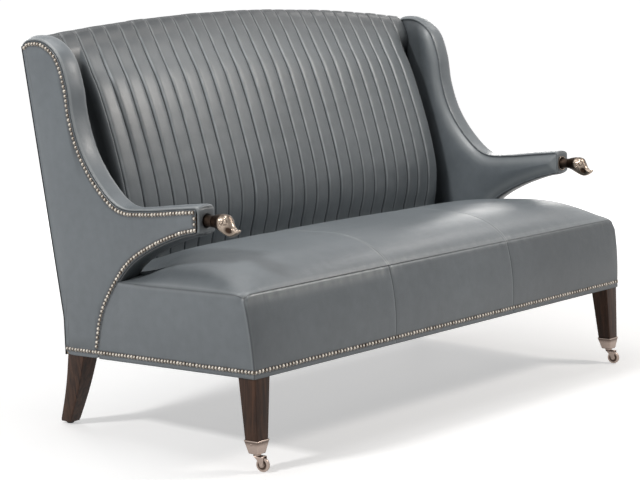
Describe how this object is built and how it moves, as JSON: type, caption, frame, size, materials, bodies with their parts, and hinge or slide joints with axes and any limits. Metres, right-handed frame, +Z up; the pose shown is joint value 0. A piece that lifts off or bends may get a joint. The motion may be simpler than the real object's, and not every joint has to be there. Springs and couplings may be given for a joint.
{
  "type": "settee",
  "caption": "Leather settee with a channelled, gently arched back, winged sides, slim cantilevered arms ending in cast bird heads, a tight seat, nail trim, tapered legs and front casters.",
  "frame": {"origin": "centre of the overall footprint on the floor", "axes": "+X to the right of someone facing the settee, +Y towards its back, +Z up; the settee faces -Y"},
  "size_m": [1.6422, 0.8414, 1.0597],
  "materials": {
    "leather": "semi-gloss blue-grey upholstery leather",
    "inside_back_leather": "semi-gloss blue-grey upholstery leather",
    "nail_metal": "antique domed nails",
    "bronze": "cast bronze, worn bright on the high spots",
    "dark_bronze": "dark patinated bronze",
    "caster_metal": "brushed nickel",
    "leg_wood": "dark stained and waxed hardwood",
    "frame_wood": "bare frame hardwood",
    "webbing": "elastic webbing",
    "foam": "upholstery foam",
    "cambric": "black cambric",
    "glide": "dark nylon glide"
  },
  "bodies": {
    "settee": {"arm_frame_left": "frame_wood", "arm_frame_right": "frame_wood", "arm_nails_left": "nail_metal", "arm_nails_right": "nail_metal", "arm_pad_left": "leather", "arm_pad_right": "leather", "back_post_left": "frame_wood", "back_post_right": "frame_wood", "back_rail": "frame_wood", "back_slat_left": "frame_wood", "back_slat_right": "frame_wood", "back_tack_rail": "frame_wood", "base_nails_front": "nail_metal", "base_nails_left": "nail_metal", "base_nails_right": "nail_metal", "caster_cup_left": "caster_metal", "caster_cup_right": "caster_metal", "channel_back": "inside_back_leather", "corner_block_back_left": "frame_wood", "corner_block_back_right": "frame_wood", "corner_block_front_left": "frame_wood", "corner_block_front_right": "frame_wood", "crest_rail": "frame_wood", "cup_screw_left": "caster_metal", "cup_screw_right": "caster_metal", "dust_cover": "cambric", "finial_head_left": "bronze", "finial_head_right": "bronze", "finial_neck_left": "dark_bronze", "finial_neck_right": "dark_bronze", "front_leg_left": "leg_wood", "front_leg_right": "leg_wood", "front_rail": "frame_wood", "outside_arm_panel_left": "leather", "outside_arm_panel_right": "leather", "outside_back": "leather", "rear_glide_left": "glide", "rear_glide_right": "glide", "rear_leg_left": "leg_wood", "rear_leg_right": "leg_wood", "seat_cover": "leather", "seat_foam": "foam", "seat_strap_1": "webbing", "seat_strap_2": "webbing", "seat_strap_3": "webbing", "seat_strap_4": "webbing", "seat_strap_5": "webbing", "seat_strap_6": "webbing", "seat_strap_7": "webbing", "side_rail_left": "frame_wood", "side_rail_right": "frame_wood", "socket_ring_left": "caster_metal", "socket_ring_right": "caster_metal"},
    "caster_left": {"caster_fork_left": "caster_metal", "caster_axle_left": "caster_metal"},
    "wheel_left": {"caster_wheel_left": "caster_metal"},
    "caster_right": {"caster_fork_right": "caster_metal", "caster_axle_right": "caster_metal"},
    "wheel_right": {"caster_wheel_right": "caster_metal"}
  },
  "joints": [
    {"name": "caster_swivel_left", "type": "hinge", "parent": "settee", "child": "caster_left", "pos_m": [-0.7962, -0.3865, 0.043], "axis": [0, 0, 1], "continuous": true},
    {"name": "wheel_spin_left", "type": "hinge", "parent": "caster_left", "child": "wheel_left", "pos_m": [-0.79277, -0.40264, 0.018], "axis": [0.9781, 0.2079, 0], "continuous": true},
    {"name": "caster_swivel_right", "type": "hinge", "parent": "settee", "child": "caster_right", "pos_m": [0.7962, -0.3865, 0.043], "axis": [0, 0, 1], "continuous": true},
    {"name": "wheel_spin_right", "type": "hinge", "parent": "caster_right", "child": "wheel_right", "pos_m": [0.79963, -0.40264, 0.018], "axis": [0.9781, 0.2079, 0], "continuous": true}
  ]
}
